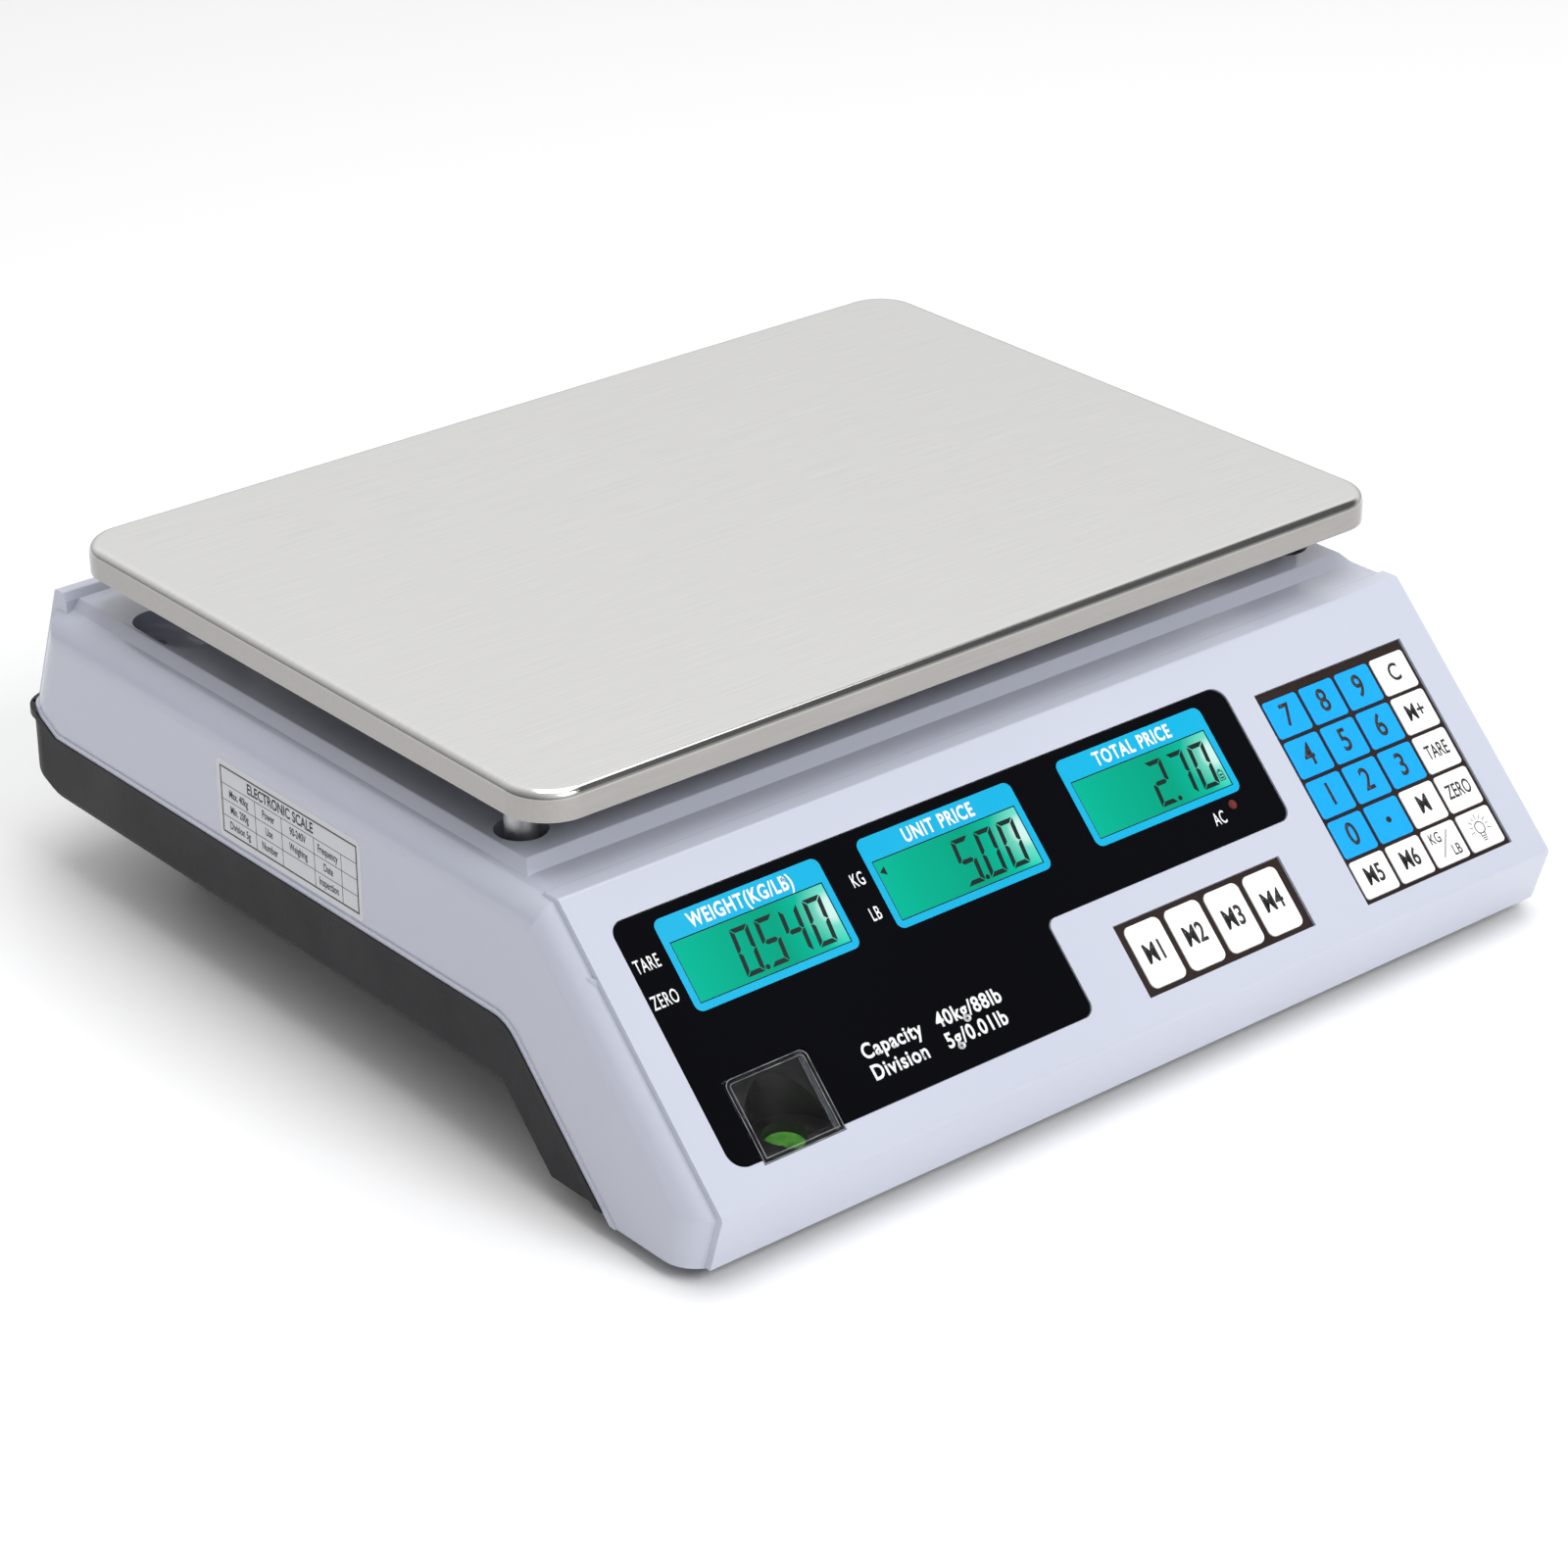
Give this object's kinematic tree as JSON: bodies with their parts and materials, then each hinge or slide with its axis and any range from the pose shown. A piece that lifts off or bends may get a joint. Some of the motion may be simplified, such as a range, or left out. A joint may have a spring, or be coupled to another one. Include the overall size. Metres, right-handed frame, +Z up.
{
  "type": "price computing scale",
  "caption": "Counter-top retail scale with a steel platter, sloping console with displays, keypad and level, and a dark base on levelling feet.",
  "frame": {"origin": "centre of the footprint, on the surface the feet stand on", "axes": "+Z up, +X to the right of the person at the keypad, +Y away from them towards the customer"},
  "size_m": [0.35, 0.3492, 0.122],
  "materials": {
    "stainless": "brushed",
    "upper_case": "gloss",
    "lower_case": "fine texture",
    "black_panel": "gloss",
    "display": "polarised glass",
    "clear": "clear",
    "vial": "green liquid behind clear plastic",
    "black_plastic": "satin",
    "blue_key": "satin",
    "white_key": "satin",
    "foot_rubber": "matte",
    "pad": "matte",
    "cast_alloy": "cast",
    "cell_alloy": "milled",
    "zinc": "zinc plated",
    "board": "solder mask",
    "cable": "satin",
    "lamp": "clear red",
    "iron": "laminated",
    "battery_case": "satin"
  },
  "bodies": {
    "scale": {"ac_lamp": "lamp", "base_housing": "lower_case", "battery": "battery_case", "battery_cover": "lower_case", "display_board": "board", "display_window": "black_panel", "housing_screws": "zinc", "keypad_board": "board", "keypad_frame": "black_plastic", "level_holder": "black_plastic", "level_vial": "vial", "level_window": "clear", "load_cell": "cell_alloy", "load_cell_bolts": "zinc", "main_board": "board", "mains_inlet": "black_plastic", "memory_keypad_frame": "black_plastic", "power_switch": "black_plastic", "rear_board": "board", "rear_lcds": "display", "rear_window": "black_panel", "top_housing": "upper_case", "total_price_lcd": "display", "transformer": "iron", "unit_price_lcd": "display", "weight_lcd": "display", "wiring": "cable"},
    "weigh_frame": {"support_frame": "cast_alloy", "frame_bolts": "zinc", "support_pads": "pad"},
    "platter": {"platter": "stainless"},
    "rocker": {"power_rocker": "black_plastic"},
    "key_0_body": {"key_0": "blue_key"},
    "key_1_body": {"key_1": "blue_key"},
    "key_2_body": {"key_2": "blue_key"},
    "key_3_body": {"key_3": "blue_key"},
    "key_4_body": {"key_4": "blue_key"},
    "key_5_body": {"key_5": "blue_key"},
    "key_6_body": {"key_6": "blue_key"},
    "key_7_body": {"key_7": "blue_key"},
    "key_8_body": {"key_8": "blue_key"},
    "key_9_body": {"key_9": "blue_key"},
    "key_clear_body": {"key_clear": "white_key"},
    "key_kg_lb_body": {"key_kg_lb": "white_key"},
    "key_light_body": {"key_light": "white_key"},
    "key_m1_body": {"key_m1": "white_key"},
    "key_m2_body": {"key_m2": "white_key"},
    "key_m3_body": {"key_m3": "white_key"},
    "key_m4_body": {"key_m4": "white_key"},
    "key_m5_body": {"key_m5": "white_key"},
    "key_m6_body": {"key_m6": "white_key"},
    "key_memory_body": {"key_memory": "white_key"},
    "key_memory_plus_body": {"key_memory_plus": "white_key"},
    "key_point_body": {"key_point": "blue_key"},
    "key_tare_body": {"key_tare": "white_key"},
    "key_zero_scale_body": {"key_zero_scale": "white_key"},
    "foot_front_left_body": {"foot_front_left": "foot_rubber"},
    "foot_front_right_body": {"foot_front_right": "foot_rubber"},
    "foot_rear_left_body": {"foot_rear_left": "foot_rubber"},
    "foot_rear_right_body": {"foot_rear_right": "foot_rubber"}
  },
  "joints": [
    {"name": "weighing_travel", "type": "slide", "parent": "scale", "child": "weigh_frame", "axis": [0, 0, 1], "range_m": [-0.0005, 0], "stiffness_N_per_m": 200000, "springref_m": 0.00006, "deforming": ["load_cell"]},
    {"name": "platter_lift", "type": "slide", "parent": "weigh_frame", "child": "platter", "axis": [0, 0, 1], "range_m": [0, 0.03]},
    {"name": "power_rocker_tilt", "type": "hinge", "parent": "scale", "child": "rocker", "pos_m": [0.1675, 0.073, 0.0403], "axis": [0, 0, 1], "range_deg": [-16, 0]},
    {"name": "key_0_press", "type": "slide", "parent": "scale", "child": "key_0_body", "axis": [0, 0.7071, -0.7071], "range_m": [0, 0.0004], "stiffness_N_per_m": 1500, "springref_m": -0.0004},
    {"name": "key_1_press", "type": "slide", "parent": "scale", "child": "key_1_body", "axis": [0, 0.7071, -0.7071], "range_m": [0, 0.0004], "stiffness_N_per_m": 1500, "springref_m": -0.0004},
    {"name": "key_2_press", "type": "slide", "parent": "scale", "child": "key_2_body", "axis": [0, 0.7071, -0.7071], "range_m": [0, 0.0004], "stiffness_N_per_m": 1500, "springref_m": -0.0004},
    {"name": "key_3_press", "type": "slide", "parent": "scale", "child": "key_3_body", "axis": [0, 0.7071, -0.7071], "range_m": [0, 0.0004], "stiffness_N_per_m": 1500, "springref_m": -0.0004},
    {"name": "key_4_press", "type": "slide", "parent": "scale", "child": "key_4_body", "axis": [0, 0.7071, -0.7071], "range_m": [0, 0.0004], "stiffness_N_per_m": 1500, "springref_m": -0.0004},
    {"name": "key_5_press", "type": "slide", "parent": "scale", "child": "key_5_body", "axis": [0, 0.7071, -0.7071], "range_m": [0, 0.0004], "stiffness_N_per_m": 1500, "springref_m": -0.0004},
    {"name": "key_6_press", "type": "slide", "parent": "scale", "child": "key_6_body", "axis": [0, 0.7071, -0.7071], "range_m": [0, 0.0004], "stiffness_N_per_m": 1500, "springref_m": -0.0004},
    {"name": "key_7_press", "type": "slide", "parent": "scale", "child": "key_7_body", "axis": [0, 0.7071, -0.7071], "range_m": [0, 0.0004], "stiffness_N_per_m": 1500, "springref_m": -0.0004},
    {"name": "key_8_press", "type": "slide", "parent": "scale", "child": "key_8_body", "axis": [0, 0.7071, -0.7071], "range_m": [0, 0.0004], "stiffness_N_per_m": 1500, "springref_m": -0.0004},
    {"name": "key_9_press", "type": "slide", "parent": "scale", "child": "key_9_body", "axis": [0, 0.7071, -0.7071], "range_m": [0, 0.0004], "stiffness_N_per_m": 1500, "springref_m": -0.0004},
    {"name": "key_clear_press", "type": "slide", "parent": "scale", "child": "key_clear_body", "axis": [0, 0.7071, -0.7071], "range_m": [0, 0.0004], "stiffness_N_per_m": 1500, "springref_m": -0.0004},
    {"name": "key_kg_lb_press", "type": "slide", "parent": "scale", "child": "key_kg_lb_body", "axis": [0, 0.7071, -0.7071], "range_m": [0, 0.0004], "stiffness_N_per_m": 1500, "springref_m": -0.0004},
    {"name": "key_light_press", "type": "slide", "parent": "scale", "child": "key_light_body", "axis": [0, 0.7071, -0.7071], "range_m": [0, 0.0004], "stiffness_N_per_m": 1500, "springref_m": -0.0004},
    {"name": "key_m1_press", "type": "slide", "parent": "scale", "child": "key_m1_body", "axis": [0, 0.7071, -0.7071], "range_m": [0, 0.0004], "stiffness_N_per_m": 1500, "springref_m": -0.0004},
    {"name": "key_m2_press", "type": "slide", "parent": "scale", "child": "key_m2_body", "axis": [0, 0.7071, -0.7071], "range_m": [0, 0.0004], "stiffness_N_per_m": 1500, "springref_m": -0.0004},
    {"name": "key_m3_press", "type": "slide", "parent": "scale", "child": "key_m3_body", "axis": [0, 0.7071, -0.7071], "range_m": [0, 0.0004], "stiffness_N_per_m": 1500, "springref_m": -0.0004},
    {"name": "key_m4_press", "type": "slide", "parent": "scale", "child": "key_m4_body", "axis": [0, 0.7071, -0.7071], "range_m": [0, 0.0004], "stiffness_N_per_m": 1500, "springref_m": -0.0004},
    {"name": "key_m5_press", "type": "slide", "parent": "scale", "child": "key_m5_body", "axis": [0, 0.7071, -0.7071], "range_m": [0, 0.0004], "stiffness_N_per_m": 1500, "springref_m": -0.0004},
    {"name": "key_m6_press", "type": "slide", "parent": "scale", "child": "key_m6_body", "axis": [0, 0.7071, -0.7071], "range_m": [0, 0.0004], "stiffness_N_per_m": 1500, "springref_m": -0.0004},
    {"name": "key_memory_press", "type": "slide", "parent": "scale", "child": "key_memory_body", "axis": [0, 0.7071, -0.7071], "range_m": [0, 0.0004], "stiffness_N_per_m": 1500, "springref_m": -0.0004},
    {"name": "key_memory_plus_press", "type": "slide", "parent": "scale", "child": "key_memory_plus_body", "axis": [0, 0.7071, -0.7071], "range_m": [0, 0.0004], "stiffness_N_per_m": 1500, "springref_m": -0.0004},
    {"name": "key_point_press", "type": "slide", "parent": "scale", "child": "key_point_body", "axis": [0, 0.7071, -0.7071], "range_m": [0, 0.0004], "stiffness_N_per_m": 1500, "springref_m": -0.0004},
    {"name": "key_tare_press", "type": "slide", "parent": "scale", "child": "key_tare_body", "axis": [0, 0.7071, -0.7071], "range_m": [0, 0.0004], "stiffness_N_per_m": 1500, "springref_m": -0.0004},
    {"name": "key_zero_scale_press", "type": "slide", "parent": "scale", "child": "key_zero_scale_body", "axis": [0, 0.7071, -0.7071], "range_m": [0, 0.0004], "stiffness_N_per_m": 1500, "springref_m": -0.0004},
    {"name": "foot_front_left_height", "type": "slide", "parent": "scale", "child": "foot_front_left_body", "axis": [0, 0, -1], "range_m": [0, 0.006]},
    {"name": "foot_front_right_height", "type": "slide", "parent": "scale", "child": "foot_front_right_body", "axis": [0, 0, -1], "range_m": [0, 0.006]},
    {"name": "foot_rear_left_height", "type": "slide", "parent": "scale", "child": "foot_rear_left_body", "axis": [0, 0, -1], "range_m": [0, 0.006]},
    {"name": "foot_rear_right_height", "type": "slide", "parent": "scale", "child": "foot_rear_right_body", "axis": [0, 0, -1], "range_m": [0, 0.006]}
  ]
}
